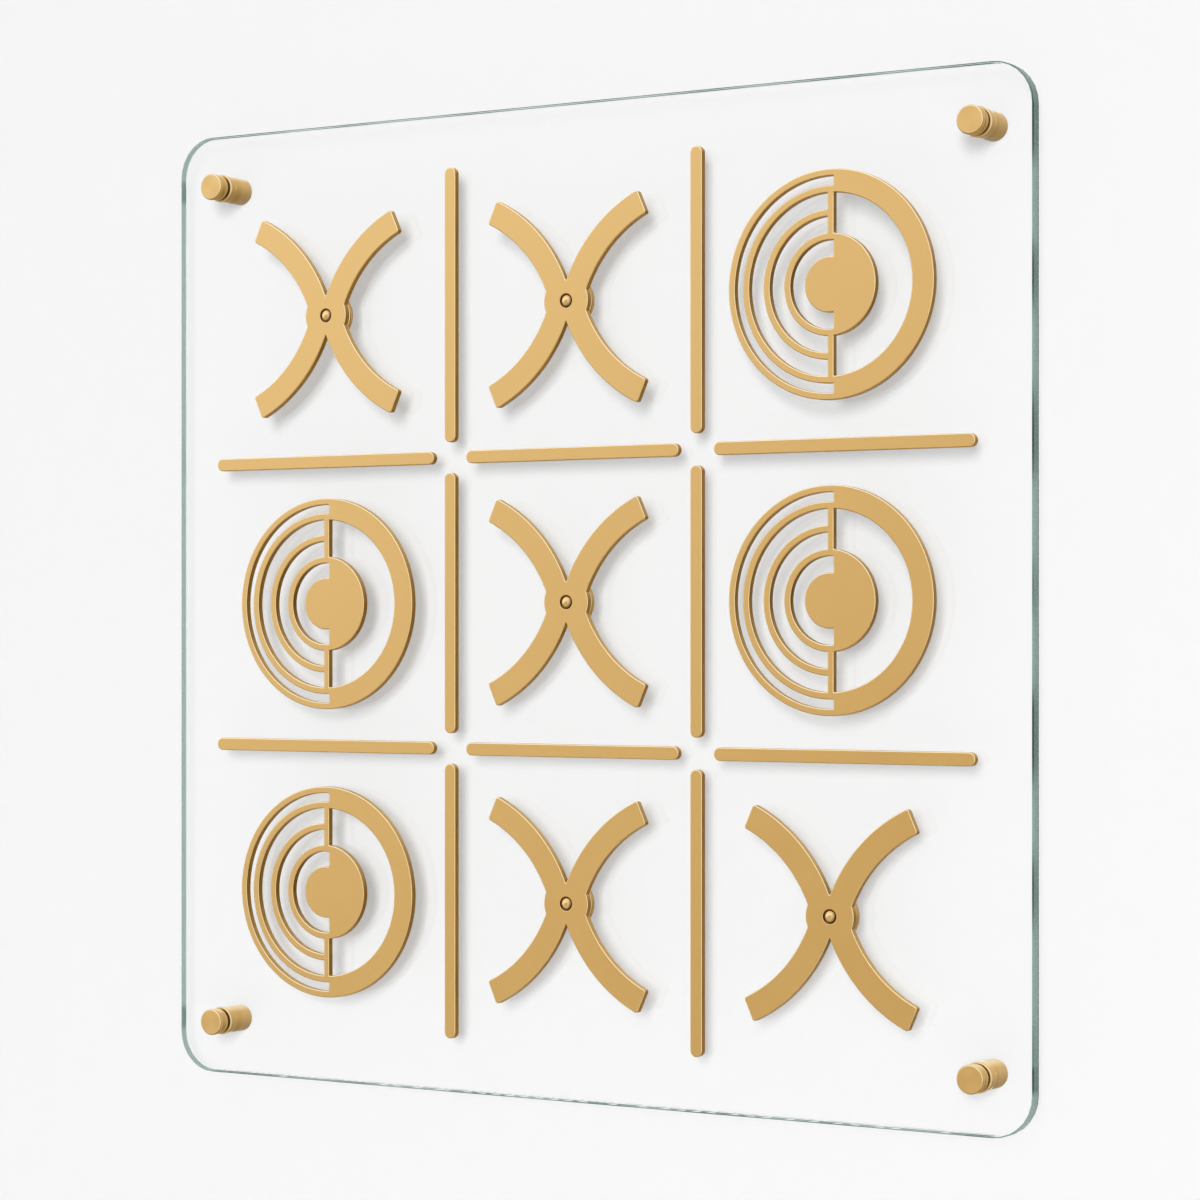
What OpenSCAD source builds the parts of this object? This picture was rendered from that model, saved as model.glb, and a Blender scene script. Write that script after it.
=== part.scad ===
// Wall-hung tic-tac-toe board: a clear glass panel on four standoffs, twelve brass
// bars that draw the playing grid, nine steel seats, and five cross and four ring pieces.
// Each playing piece has a magnet in its base, and its plate turns on a pin in the base.
// X runs to the right, Z up, and the front looks along -Y. The wall is the plane Y = 0.

/* [Glass panel] */
// Width of the panel
panel_w = 457.2; // [440:0.1:560]
// Height of the panel
panel_h = 457.2; // [450:0.1:560]
// Thickness of the glass
glass_t = 6.35; // [5:0.05:12]
// Radius of the panel's corners
corner_r = 19; // [10:0.5:24]
// Bevel ground on the edges of the glass
arris = 0.4; // [0.3:0.1:1.5]
// Distance from the panel's edges to the centre of each standoff
hole_inset = 25.4; // [20:0.1:30]

/* [Playing grid] */
// Distance between the two upright lines
line_gap_x = 132.6; // [120:0.1:144]
// Distance between the two level lines
line_gap_z = 135.8; // [124:0.1:148]
// Width of a bar
bar_w = 6; // [4:0.1:10]
// Thickness of a bar
bar_t = 3.2; // [2.6:0.1:5]
// Bevel along the front edges of a bar
bar_bevel = 0.4; // [0.2:0.1:1]
// Gap between bar ends where an upright line crosses a level one
cross_gap_z = 14.2; // [10:0.1:24]
// Gap between bar ends where a level line crosses an upright one
cross_gap_x = 18.2; // [10:0.1:24]
// How far the outer columns of pieces sit outward of the middle of their cells
cell_shift_x = 0.6; // [-2:0.05:2]
// How far the outer rows of pieces sit outward of the middle of their cells
cell_shift_z = 1.75; // [-1:0.05:4]

/* [Playing plates] */
// Thickness of the cross and ring plates
plate_t = 3.2; // [2.6:0.1:5]
// Bevel along the front edges of the plates
plate_bevel = 0.4; // [0.2:0.1:0.9]
// Gap by which a turning plate clears the bars
swing_gap = 0.5; // [0.4:0.1:2]

/* [Cross piece] */
// Width of an arm
arm_w = 11.6; // [8:0.1:13]
// Radius of an arm's centre line
arm_r = 67.5; // [63:0.1:70]
// Distance across from the pin to the centre of an arm's arc
arm_cx = 67.7; // [63:0.1:70]
// Distance down from the pin to the centre of an upper arm's arc
arm_cz = 19; // [16:0.1:21]
// Angle above level at which an arm ends, seen from the centre of its arc
arm_end = 65.9; // [55:0.1:67]
// Diameter of the hub disc
hub_d = 23.6; // [21:0.1:28]
// Height of the hub, which is cut level above and below the pin
hub_h = 17; // [14:0.5:21]

/* [Ring piece] */
// Outer diameter of the ring
ring_d = 100.4; // [98:0.1:110]
// Width of the broad rim on the right half
rim_w = 10.3; // [8:0.1:12]
// Width of the fine half rings on the left half
fine_w = 3.1; // [2:0.1:3.5]
// Diameter of the half disc, which is also that of the inner fine ring
disc_d = 44.8; // [40:0.1:48]
// Diameter of the small half disc on the left
small_d = 24.4; // [23.8:0.1:32]
// Distance from the centre to the edge where the right half starts
split_x = 2; // [0:0.1:4]
// Width of the upright rib between the rings
rib_w = 2.9; // [2:0.1:4]

/* [Seat, base and pin] */
// Diameter of the steel seat disc on the glass
seat_d = 22.4; // [20:0.1:24]
// Thickness of the seat disc
seat_t = 1; // [0.6:0.1:1.2]
// Diameter of a piece's base
base_d = 22; // [20:0.1:24]
// Thickness of the base
base_t = 1.6; // [1.5:0.1:1.8]
// Diameter of the neck between base and plate
neck_d = 12; // [9:0.1:18]
// Diameter of the magnet
magnet_d = 15; // [10:0.1:18]
// Thickness of the magnet
magnet_t = 1; // [0.5:0.05:1.2]
// Diameter of the pin that the plate turns on
pin_d = 4; // [3:0.1:4.4]
// Diameter of the pin's upset tail
tail_d = 6; // [5:0.1:7]
// Thickness of the pin's tail
tail_t = 0.5; // [0.3:0.05:0.6]
// Diameter of the pin's domed head
head_d = 5.4; // [4.8:0.1:5.8]
// Height of the pin's domed head
head_h = 1.7; // [1.2:0.1:2.2]
// Diameter of the recess around the head
recess_d = 6.4; // [6:0.1:8]
// Depth of the recess around the head
recess_h = 1.2; // [0.8:0.1:1.6]
// Bevel around the mouth of the recess
recess_bevel = 0.35; // [0.1:0.05:0.5]
// Radial running clearance of the plate on the pin
turn_fit = 0.05; // [0.02:0.01:0.1]
// Clearance around parts that are glued or pressed in place
glue_fit = 0.05; // [0.02:0.01:0.1]

/* [Standoff] */
// Diameter of barrel, ferrule and cap
post_d = 12.7; // [12:0.1:16]
// Length of the barrel, from the wall to the glass
barrel_l = 12.7; // [9:0.1:25]
// Bevel at the ends of the barrel
barrel_bevel = 0.7; // [0.3:0.1:1]
// Thickness of the barrel's floor at the wall
floor_t = 4; // [3.2:0.1:5]
// How far the ferrule's flange stands out past its barrel, in front of the glass
flange_lip = 0.35; // [0.2:0.05:2]
// Thickness of the ferrule's flange
flange_t = 1; // [0.8:0.1:1.6]
// Diameter of the threaded stud on the cap
stud_d = 8; // [6:0.1:8.4]
// Gap between the stud's tip and the wall screw
stud_gap = 0.3; // [0.2:0.1:1]
// Clearance of the stud in the ferrule
stud_clear = 0.2; // [0.1:0.05:0.4]
// Diameter of the rubber gasket
gasket_d = 11.6; // [10:0.1:11.6]
// Thickness of the rubber gasket
gasket_t = 1.4; // [0.6:0.1:2.5]
// Diameter of the collar on the cap
collar_d = 12.2; // [11:0.1:12.4]
// Length of the collar on the cap
collar_l = 4.2; // [2:0.1:6]
// Thickness of the cap's disc
cap_t = 2; // [1.6:0.1:4]
// Bevel around the cap's face
cap_bevel = 0.5; // [0.3:0.1:1.2]

/* [Wall screw] */
// Diameter of the wall screw over its thread
screw_d = 4.2; // [3.5:0.1:4.6]
// How far the thread stands out from the plain shank under the head
thread_h = 0.3; // [0.1:0.05:0.5]
// Diameter of the wall screw's head
screw_head_d = 7.4; // [6.6:0.1:7.6]
// Height of the wall screw's countersunk head
screw_head_h = 2.2; // [1.6:0.1:2.6]
// Length of the screw that stands out of the barrel
screw_l = 28; // [20:1:50]
// Length of the screw's point
point_l = 6; // [3:0.5:8]
// Clearance of the screw in the barrel
screw_clear = 0.15; // [0.1:0.05:0.3]
// Width of the screw's cross slot
slot_w = 1.1; // [0.8:0.1:1.4]
// Span of the screw's cross slot
slot_l = 4.4; // [3:0.1:5]
// Depth of the screw's cross slot
slot_h = 1.2; // [0.6:0.1:1.4]

/* [Hidden] */
$fn = 96;
// A cut runs this far past the face it opens
over = 1;

// Heights in front of the wall, from the barrels outward
glass_back = barrel_l;
glass_front = glass_back + glass_t;
flange_front = glass_front + flange_t;
gasket_front = flange_front + gasket_t;
cap_back = gasket_front;
cap_front = cap_back + collar_l + cap_t;
stud_tip = floor_t + stud_gap;
// Heights of the playing pieces
seat_front = glass_front + seat_t;
plate_back = glass_front + bar_t + swing_gap;
neck_h = plate_back - seat_front - base_t;
base_h = base_t + neck_h;

// Places of the standoffs and the ends of the grid lines
post_x = panel_w / 2 - hole_inset;
post_z = panel_h / 2 - hole_inset;
hole_d = post_d + 2 * glue_fit;
flange_d = post_d + 2 * flange_lip;

// Distances between the centres of the pieces, across and up
cell_x = (post_x + line_gap_x / 2) / 2 + cell_shift_x;
cell_z = (post_z + line_gap_z / 2) / 2 + cell_shift_z;

// The second fine ring carries on the inner edge of the broad rim, and the third
// lies midway between it and the half disc
second_d = ring_d - 2 * rim_w + 2 * fine_w;
third_d = (second_d + disc_d) / 2;

// Pocket for the magnet and recess for the pin's tail, cut from the back of a base
pocket_d = magnet_d + 2 * glue_fit;
pocket_h = magnet_t + glue_fit;
tail_gap = 0.3;
tail_back = pocket_h + glue_fit;
recess_back = tail_back + tail_t + glue_fit;

// Corner names with their signs across and up
CORNERS = [["tl", -1, 1], ["tr", 1, 1], ["bl", -1, -1], ["br", 1, -1]];
// Cell names with their column and row, counted from the centre cell
CROSS_CELLS = [["tl", -1, 1], ["tm", 0, 1], ["mm", 0, 0], ["bm", 0, -1], ["br", 1, -1]];
RING_CELLS = [["tr", 1, 1], ["ml", -1, 0], ["mr", 1, 0], ["bl", -1, -1]];
// Bar names: upright lines left and right, level lines upper and lower, in three lengths
UPRIGHT_LINES = [["left", -1], ["right", 1]];
LEVEL_LINES = [["upper", 1], ["lower", -1]];
UPRIGHT_STEPS = [["top", 1], ["middle", 0], ["bottom", -1]];
LEVEL_STEPS = [["left", -1], ["middle", 0], ["right", 1]];

BRASS = [0.87, 0.71, 0.45];
STEEL = [0.72, 0.72, 0.70];
RUBBER = [0.12, 0.11, 0.10];
GLASS = [0.74, 0.88, 0.84, 0.35];

// Puts a shape that faces +Z on the board at x, z and height out in front of the wall
module on_board(x, z, out) {
    translate([x, -out, z]) rotate([90, 0, 0]) children();
}

// Turned disc with a bevel around its front edge
module disc(d, t, bevel) {
    rotate_extrude()
        polygon([[0, 0], [d / 2, 0], [d / 2, t - bevel], [d / 2 - bevel, t], [0, t]]);
}

// Turned disc with a bevel around both edges
module disc_both(d, t, bevel) {
    rotate_extrude()
        polygon([
            [0, 0], [d / 2 - bevel, 0], [d / 2, bevel],
            [d / 2, t - bevel], [d / 2 - bevel, t], [0, t]
        ]);
}

// Cross-section of a strip of width w, standing on y = 0 and centred on x, with bevelled front edges
module strip_section(x, w, t, bevel) {
    polygon([
        [x - w / 2, 0], [x + w / 2, 0], [x + w / 2, t - bevel],
        [x + w / 2 - bevel, t], [x - w / 2 + bevel, t], [x - w / 2, t - bevel]
    ]);
}

// Straight strip from y0 to y1, centred on x
module strip(x, w, t, bevel, y0, y1) {
    translate([0, y1, 0]) rotate([90, 0, 0])
        linear_extrude(height = y1 - y0) strip_section(x, w, t, bevel);
}

// Curved strip whose centre line has radius r, from angle a0 to angle a1, under half a turn apart
module arc_strip(r, w, t, bevel, a0, a1) {
    reach = (r + w) / cos((a1 - a0) / 2);
    intersection() {
        ring_strip(2 * r + w, w, t, bevel);
        translate([0, 0, -over]) linear_extrude(height = t + 2 * over)
            polygon([[0, 0], [reach * cos(a0), reach * sin(a0)], [reach * cos(a1), reach * sin(a1)]]);
    }
}

// Whole ring of outer diameter d and width w
module ring_strip(d, w, t, bevel) {
    rotate_extrude() strip_section(d / 2 - w / 2, w, t, bevel);
}

// Half space to the left of x, or to the right with side = 1, that holds a whole ring piece
module half_space(x, side) {
    translate([side < 0 ? x - ring_d : x, -ring_d, -over])
        cube([ring_d, 2 * ring_d, plate_t + 2 * over]);
}

module glass_panel() {
    side_x = panel_w / 2;
    side_z = panel_h / 2;
    color(GLASS) on_board(0, 0, glass_back) difference() {
        union() {
            edge_prism(side_x, 2 * (side_z - corner_r));
            rotate([0, 0, 90]) edge_prism(side_z, 2 * (side_x - corner_r));
            for (corner = CORNERS)
                translate([corner[1] * (side_x - corner_r), corner[2] * (side_z - corner_r), 0])
                    disc_both(2 * corner_r, glass_t, arris);
        }
        for (corner = CORNERS)
            translate([corner[1] * post_x, corner[2] * post_z, -over])
                cylinder(d = hole_d, h = glass_t + 2 * over);
    }
}

// Slab from -half to half across, l long, with bevelled ends
module edge_prism(half, l) {
    translate([0, l / 2, 0]) rotate([90, 0, 0]) linear_extrude(height = l)
        polygon([
            [-half, arris], [-half + arris, 0], [half - arris, 0], [half, arris],
            [half, glass_t - arris], [half - arris, glass_t],
            [-half + arris, glass_t], [-half, glass_t - arris]
        ]);
}

// Bar with round ends, from y0 to y1 along the local Y axis
module bar(y0, y1) {
    color(BRASS) union() {
        strip(0, bar_w, bar_t, bar_bevel, y0 + bar_w / 2, y1 - bar_w / 2);
        for (y = [y0 + bar_w / 2, y1 - bar_w / 2])
            translate([0, y, 0]) disc(bar_w, bar_t, bar_bevel);
    }
}

// One of the three bars of a line: step 1 is the far outer one, 0 the middle one, -1 the near outer one
module line_bar(step, crossing, gap, reach) {
    inner = crossing - gap / 2;
    outer = crossing + gap / 2;
    if (step == 0) bar(-inner, inner);
    if (step == 1) bar(outer, reach);
    if (step == -1) bar(-reach, -outer);
}

module upright_bar(side, step) {
    on_board(side * line_gap_x / 2, 0, glass_front)
        line_bar(step, line_gap_z / 2, cross_gap_z, post_z);
}

module level_bar(side, step) {
    on_board(0, side * line_gap_z / 2, glass_front)
        rotate([0, 0, -90]) line_bar(step, line_gap_x / 2, cross_gap_x, post_x);
}

module seat_discs() {
    seat_bevel = 0.2;
    color(BRASS)
        for (cell = concat(CROSS_CELLS, RING_CELLS))
            on_board(cell[1] * cell_x, cell[2] * cell_z, glass_front)
                disc(seat_d, seat_t, seat_bevel);
}

// Cuts the bevel along the end of an arm, at angle a of the arc
module arm_end_bevel(a) {
    reach = arm_w + 2 * over;
    rotate([0, 0, a]) translate([arm_r - reach / 2, 0, plate_t - plate_bevel])
        rotate([45, 0, 0]) translate([0, -reach, 0]) cube([reach, 2 * reach, reach]);
}

// Upper right arm of the cross, from its end to inside the hub
module cross_arm() {
    hub_a = 180 - asin(arm_cz / arm_r);
    translate([arm_cx, -arm_cz, 0]) difference() {
        arc_strip(arm_r, arm_w, plate_t, plate_bevel, 180 - arm_end, hub_a);
        arm_end_bevel(180 - arm_end);
    }
}

// Hub disc, cut level so that the notches between the arms stay sharp
module cross_hub() {
    intersection() {
        disc(hub_d, plate_t, plate_bevel);
        translate([-hub_d, -hub_h / 2, -over]) cube([2 * hub_d, hub_h, plate_t + 2 * over]);
    }
}

module cross_plate(cell) {
    color(BRASS) on_board(cell[1] * cell_x, cell[2] * cell_z, plate_back) difference() {
        union() {
            for (flip = [0, 1], turn = [0, 180])
                rotate([0, 0, turn]) mirror([flip, 0, 0]) cross_arm();
            cross_hub();
        }
        translate([0, 0, -over]) cylinder(d = pin_d + 2 * turn_fit, h = plate_t + 2 * over);
        translate([0, 0, plate_t - recess_h]) cylinder(d = recess_d, h = recess_h + over);
        translate([0, 0, plate_t - recess_bevel])
            cylinder(d1 = recess_d, d2 = recess_d + 4 * recess_bevel, h = 2 * recess_bevel);
    }
}

// Shank and tail of a pin, from the tail up to height top above the back of the base
module pin_shank(top) {
    translate([0, 0, tail_back]) union() {
        cylinder(d = tail_d, h = tail_t);
        cylinder(d = pin_d, h = top - tail_back);
    }
}

module cross_pin(cell) {
    head_z = base_h + plate_t - recess_h + turn_fit;
    color(BRASS) on_board(cell[1] * cell_x, cell[2] * cell_z, seat_front) union() {
        pin_shank(head_z + over / 2);
        translate([0, 0, head_z]) domed_head(head_d, head_h, head_h / 3);
    }
}

// Round head of height h with a straight rim of height rim under its dome
module domed_head(d, h, rim) {
    rise = h - rim;
    ball_r = (d * d / 4 + rise * rise) / (2 * rise);
    intersection() {
        translate([0, 0, h - ball_r]) sphere(r = ball_r);
        cylinder(d = d, h = h + over);
    }
}

module piece_base(cell) {
    base_bevel = 0.3;
    color(BRASS) on_board(cell[1] * cell_x, cell[2] * cell_z, seat_front) difference() {
        union() {
            disc(base_d, base_t, base_bevel);
            cylinder(d = neck_d, h = base_h);
        }
        translate([0, 0, -over]) cylinder(d = pin_d + 2 * turn_fit, h = base_h + 2 * over);
        translate([0, 0, -over]) cylinder(d = tail_d + 2 * tail_gap, h = recess_back + over);
        translate([0, 0, -over]) cylinder(d = pocket_d, h = pocket_h + over);
    }
}

module piece_magnet(cell) {
    color(STEEL) on_board(cell[1] * cell_x, cell[2] * cell_z, seat_front + glue_fit)
        cylinder(d = magnet_d, h = magnet_t);
}

module ring_plate(cell) {
    color(BRASS) on_board(cell[1] * cell_x, cell[2] * cell_z, plate_back) union() {
        intersection() {
            union() {
                for (d = [ring_d, second_d, third_d, disc_d])
                    ring_strip(d, fine_w, plate_t, plate_bevel);
                disc(small_d, plate_t, plate_bevel);
            }
            half_space(split_x, -1);
        }
        intersection() {
            union() {
                ring_strip(ring_d, rim_w, plate_t, plate_bevel);
                disc(disc_d, plate_t, plate_bevel);
            }
            half_space(split_x, 1);
        }
        for (side = [-1, 1])
            strip(
                split_x - rib_w / 2, rib_w, plate_t, plate_bevel,
                side > 0 ? disc_d / 2 - fine_w / 2 : fine_w / 2 - second_d / 2,
                side > 0 ? second_d / 2 - fine_w / 2 : fine_w / 2 - disc_d / 2
            );
        translate([0, 0, -base_h]) pin_shank(base_h + over);
    }
}

module standoff_barrels() {
    color(BRASS)
        for (corner = CORNERS)
            on_board(corner[1] * post_x, corner[2] * post_z, 0) difference() {
                disc_both(post_d, barrel_l, barrel_bevel);
                translate([0, 0, floor_t]) cylinder(d = stud_d, h = barrel_l);
                translate([0, 0, -over])
                    cylinder(d = screw_d + 2 * screw_clear, h = floor_t + 2 * over);
                translate([0, 0, floor_t - screw_head_h])
                    cylinder(
                        d1 = screw_d + 2 * screw_clear,
                        d2 = screw_head_d + 2 * screw_clear,
                        h = screw_head_h
                    );
            }
}

module glass_ferrules() {
    flange_bevel = flange_t / 2;
    color(BRASS)
        for (corner = CORNERS)
            on_board(corner[1] * post_x, corner[2] * post_z, glass_back) difference() {
                union() {
                    cylinder(d = post_d, h = glass_t);
                    translate([0, 0, glass_t]) disc(flange_d, flange_t, flange_bevel);
                }
                translate([0, 0, -over])
                    cylinder(d = stud_d + 2 * stud_clear, h = glass_t + flange_t + 2 * over);
            }
}

module gasket(corner) {
    color(RUBBER) on_board(corner[1] * post_x, corner[2] * post_z, flange_front) difference() {
        cylinder(d = gasket_d, h = gasket_t);
        translate([0, 0, -over]) cylinder(d = stud_d, h = gasket_t + 2 * over);
    }
}

module cap(corner) {
    color(BRASS) on_board(corner[1] * post_x, corner[2] * post_z, cap_back) union() {
        translate([0, 0, collar_l]) disc(post_d, cap_t, cap_bevel);
        cylinder(d = collar_d, h = collar_l + over / 2);
        translate([0, 0, stud_tip - cap_back])
            cylinder(d = stud_d - 2 * turn_fit, h = cap_back - stud_tip + over);
    }
}

module wall_screws() {
    thread_l = screw_l - point_l;
    shank_d = screw_d - 2 * thread_h;
    color(STEEL)
        for (corner = CORNERS)
            on_board(corner[1] * post_x, corner[2] * post_z, 0) difference() {
                union() {
                    translate([0, 0, floor_t - screw_head_h])
                        cylinder(d1 = shank_d, d2 = screw_head_d, h = screw_head_h);
                    translate([0, 0, -over])
                        cylinder(d = shank_d, h = over + floor_t - screw_head_h);
                    translate([0, 0, -thread_l]) cylinder(d = screw_d, h = thread_l);
                    translate([0, 0, -screw_l]) cylinder(d1 = 0, d2 = screw_d, h = point_l);
                }
                for (turn = [0, 90])
                    rotate([0, 0, turn]) translate([-slot_l / 2, -slot_w / 2, floor_t - slot_h])
                        cube([slot_l, slot_w, slot_h + over]);
            }
}

glass_panel();
for (line = UPRIGHT_LINES, step = UPRIGHT_STEPS)
    upright_bar(line[1], step[1]);
for (line = LEVEL_LINES, step = LEVEL_STEPS)
    level_bar(line[1], step[1]);
seat_discs();
for (cell = CROSS_CELLS) {
    cross_plate(cell);
    cross_pin(cell);
    piece_base(cell);
    piece_magnet(cell);
}
for (cell = RING_CELLS) {
    ring_plate(cell);
    piece_base(cell);
    piece_magnet(cell);
}
standoff_barrels();
glass_ferrules();
for (corner = CORNERS) {
    gasket(corner);
    cap(corner);
}
wall_screws();
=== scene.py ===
"""Looks of a wall-hung tic-tac-toe board: clear glass on turned brass standoffs, satin brass
bars, and cross and ring pieces that turn on magnetic bases.

Sizes below are in millimetres, and a board point is (across, up, height before the wall).
"""

import bpy
import numpy as np
from mathutils.geometry import tessellate_polygon
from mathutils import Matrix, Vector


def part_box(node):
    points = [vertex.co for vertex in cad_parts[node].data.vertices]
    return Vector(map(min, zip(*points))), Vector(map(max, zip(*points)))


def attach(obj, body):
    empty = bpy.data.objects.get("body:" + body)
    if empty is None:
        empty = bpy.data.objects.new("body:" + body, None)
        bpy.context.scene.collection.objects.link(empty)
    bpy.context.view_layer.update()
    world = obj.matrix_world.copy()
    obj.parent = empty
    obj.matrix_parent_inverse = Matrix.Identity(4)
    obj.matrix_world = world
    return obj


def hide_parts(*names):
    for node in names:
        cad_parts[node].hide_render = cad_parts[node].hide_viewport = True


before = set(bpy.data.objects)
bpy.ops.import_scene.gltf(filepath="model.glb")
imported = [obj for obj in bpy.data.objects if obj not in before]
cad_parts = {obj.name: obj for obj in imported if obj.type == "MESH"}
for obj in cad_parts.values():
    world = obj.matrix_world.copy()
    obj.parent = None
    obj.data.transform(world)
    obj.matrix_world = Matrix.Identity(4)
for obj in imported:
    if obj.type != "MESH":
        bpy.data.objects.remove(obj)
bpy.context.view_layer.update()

CORNERS = ("tl", "tr", "bl", "br")
CROSS_CELLS = ("tl", "tm", "mm", "bm", "br")
RING_CELLS = ("tr", "ml", "mr", "bl")
BARS = [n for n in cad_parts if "_bar_" in n]


# Places from the model


def span(node):
    """Lowest and highest corner of a CAD node, in millimetres."""
    low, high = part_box(node)
    return np.array(low) * 1000, np.array(high) * 1000


def middle(node):
    """Centre of a CAD node across and up, in millimetres."""
    low, high = span(node)
    return (low[0] + high[0]) / 2, (low[2] + high[2]) / 2


def heights(node):
    """Heights of a CAD node's back and front before the wall, in millimetres."""
    low, high = span(node)
    return -high[1], -low[1]


# Surfaces

ARC_STEP, ARC_TURN, LINE_STEP = 1.6, 4, 4  # longest step on an arc (mm and degrees) and on a line (mm)
SMOOTH_TURN = 0.1  # radians between edges that run on smoothly
FLAT_STEP = 0.04  # width of the narrow row between a round and a flat face


def surface(points, faces, wall=0.0, uv=None):
    """A bundle of board points, corner indices of each face, a side wall mask and corner UVs."""
    points = np.asarray(points, float)
    return {
        "points": points,
        "faces": faces,
        "finish": np.zeros(len(faces), int),
        "wall": np.broadcast_to(np.asarray(wall, float), len(points)).copy(),
        "uv": [np.zeros((len(f), 2)) for f in faces] if uv is None else uv,
    }


def joined(*parts):
    """Several surfaces as one: the points follow each other and each face's indices are counted on."""
    starts = np.cumsum([0] + [len(p["points"]) for p in parts])
    return {
        "points": np.vstack([p["points"] for p in parts]),
        "faces": [tuple(i + s for i in f) for p, s in zip(parts, starts) for f in p["faces"]],
        "finish": np.concatenate([p["finish"] for p in parts]),
        "wall": np.concatenate([p["wall"] for p in parts]),
        "uv": [u for p in parts for u in p["uv"]],
    }


def moved(part, across, up):
    """The same surface, shifted over the board."""
    return {**part, "points": part["points"] + np.array([across, up, 0.0])}


def piece(name, part, finishes, body, nodes):
    """Makes one mesh of a surface. A board point (a, b, h) goes to x = a, y = -h, z = b, in metres."""
    a, b, h = part["points"].T
    mesh = bpy.data.meshes.new(name)
    faces = [tuple(map(int, f)) for f in part["faces"]]
    mesh.from_pydata((np.stack([a, -h, b], 1) / 1000).tolist(), [], faces)
    mesh.polygons.foreach_set("material_index", part["finish"].astype(np.int32))
    mesh.polygons.foreach_set("use_smooth", np.ones(len(faces), bool))
    mesh.attributes.new("wall", "FLOAT", "POINT").data.foreach_set("value", part["wall"].astype(np.float32))
    uv = np.vstack(part["uv"]).astype(np.float32).ravel()
    mesh.uv_layers.new(name="turned").data.foreach_set("uv", uv)
    for finish in finishes:
        mesh.materials.append(finish)
    mesh.update()
    made = bpy.data.objects.new(name, mesh)
    bpy.context.scene.collection.objects.link(made)
    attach(made, body)
    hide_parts(*nodes)
    return made


def grid_faces(rows, columns):
    """Corner indices and UVs of a grid of rows by columns whose last column joins the first."""
    i, j = np.meshgrid(np.arange(rows - 1), np.arange(columns), indexing="ij")
    i, j = i.ravel(), j.ravel()
    k = (j + 1) % columns
    faces = np.stack([i * columns + j, i * columns + k, (i + 1) * columns + k, (i + 1) * columns + j], 1)
    u, v, du, dv = j / columns, i / rows, 1 / columns, 1 / rows
    uv = np.stack([u, v, u + du, v, u + du, v + dv, u, v + dv], 1)
    return faces, uv.reshape(-1, 4, 2)


def crisp(profile, by=0.05, closed=False):
    """A profile whose corners are cut back by a small length, but at most by a sixth of a side.

    A second row lies three times as far from each corner, at most a third of the side, so that smooth
    shading bends only between the two rows and keeps flat sides flat.
    """
    p = np.asarray(profile, float)
    rows = []
    for way in (np.roll(p, 1, 0) - p, np.roll(p, -1, 0) - p):
        length = np.linalg.norm(way, axis=1)
        for back, share in ((3 * by, 1 / 3), (by, 1 / 6)):
            rows.append(p + way * (np.minimum(back, length * share) / length)[:, None])
    cut = np.stack([rows[0], rows[1], rows[3], rows[2]], 1).reshape(-1, 2)
    return np.vstack([cut, cut[:1]]) if closed else np.vstack([p[:1], cut[4:-4], p[-1:]])


def turned(profile, columns=96, wall=0.0, ripple=None):
    """Surface of revolution: each (radius, height) of the profile is carried round a circle.

    The profile runs up the outside, so its faces look outward. A radius of 0 at an end closes
    that end with a fan, and a profile that comes back to its start is a closed ring. ripple
    gives a change of radius and of height from the turn (0 to 1), the radius and the height.
    """
    profile = np.asarray(profile, float)
    ring = np.allclose(profile[0], profile[-1])
    low, high = bool(profile[0, 0] == 0), bool(profile[-1, 0] == 0)
    rows = profile[int(low) : len(profile) - int(high) - int(ring)]
    turn = np.arange(columns) / columns
    radius, height = np.repeat(rows[:, :1], columns, 1), np.repeat(rows[:, 1:], columns, 1)
    if ripple:
        wider, higher = ripple(turn[None, :], radius, height)
        radius, height = radius + wider, height + higher
    points = np.stack([radius * np.cos(2 * np.pi * turn), radius * np.sin(2 * np.pi * turn), height], 2)
    points = points.reshape(-1, 3)
    faces, uv = grid_faces(len(rows) + int(ring), columns)
    faces, uv = [tuple(f) for f in faces % len(points)], list(uv)
    j, u = np.arange(columns), np.arange(columns) / columns
    for there, row, tip in ((low, 0, profile[0, 1]), (high, len(rows) - 1, profile[-1, 1])):
        if there:
            ends = [row * columns + j, row * columns + (j + 1) % columns]
            sides = [u, u + 1 / columns]
            if row == 0:
                ends, sides = ends[::-1], sides[::-1]
            faces += [tuple(f) for f in np.stack([*ends, np.full(columns, len(points))], 1)]
            edge = np.full(columns, row / len(rows))
            corners = np.stack([sides[0], edge, sides[1], edge, u + 0.5 / columns, edge + 0.01], 1)
            uv += list(corners.reshape(-1, 3, 2))
            points = np.vstack([points, [0, 0, tip]])
    return surface(points, faces, wall, uv)


def walled(part, share):
    """The same surface of revolution, with a side wall mask from each point's radius and height."""
    a, b, h = part["points"].T
    return {**part, "wall": share(np.hypot(a, b), h)}


def arc(centre, radius, start, end):
    """Points on a circle from one angle to another, in degrees.

    They are at most ARC_STEP millimetres and ARC_TURN degrees apart.
    """
    swept = abs(end - start)
    count = int(max(3, np.ceil(np.radians(swept) * radius / ARC_STEP), np.ceil(swept / ARC_TURN)))
    t = np.radians(np.linspace(start, end, count + 1))
    return np.stack([centre[0] + radius * np.cos(t), centre[1] + radius * np.sin(t)], 1)


def straight(start, end):
    """Points on a straight line, at most LINE_STEP mm apart."""
    start, end = np.array(start, float), np.array(end, float)
    t = np.linspace(0, 1, int(max(2, np.ceil(np.linalg.norm(end - start) / LINE_STEP))) + 1)[:, None]
    return start + (end - start) * t


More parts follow.
